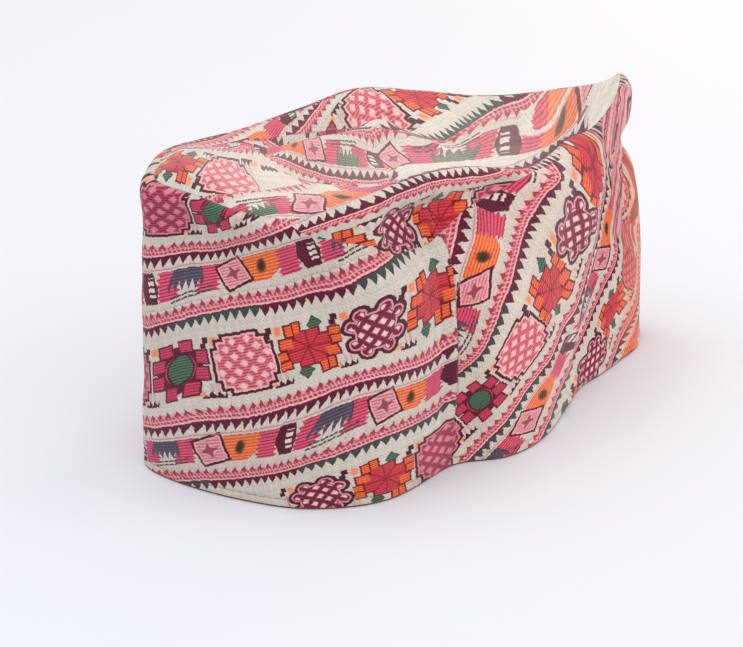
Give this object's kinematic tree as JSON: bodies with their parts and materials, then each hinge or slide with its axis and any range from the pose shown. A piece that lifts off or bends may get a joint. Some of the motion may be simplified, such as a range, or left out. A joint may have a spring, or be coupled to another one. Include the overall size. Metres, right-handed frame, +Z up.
{
  "type": "dhaka topi cloth cap",
  "caption": "Brimless cloth cap with a tall patterned wall, mitred front seam, pinched ear at one end, sunken folded crown and a narrow turned hem, standing on its hem.",
  "frame": {"origin": "on the floor, under the middle of the cap's plan box", "axes": "+X along the cap towards the pinched ear, -Y out of the front with the mitred seam, +Z up from the floor to the crown"},
  "size_m": [0.2136, 0.1296, 0.1091],
  "materials": {
    "patterned_cotton": "matt woven cotton with a striped floral pattern",
    "hem_cotton": "matt woven cotton"
  },
  "bodies": {
    "root": {"left_wall": "patterned_cotton", "right_wall": "patterned_cotton", "crown": "patterned_cotton", "hem": "hem_cotton"}
  },
  "joints": []
}
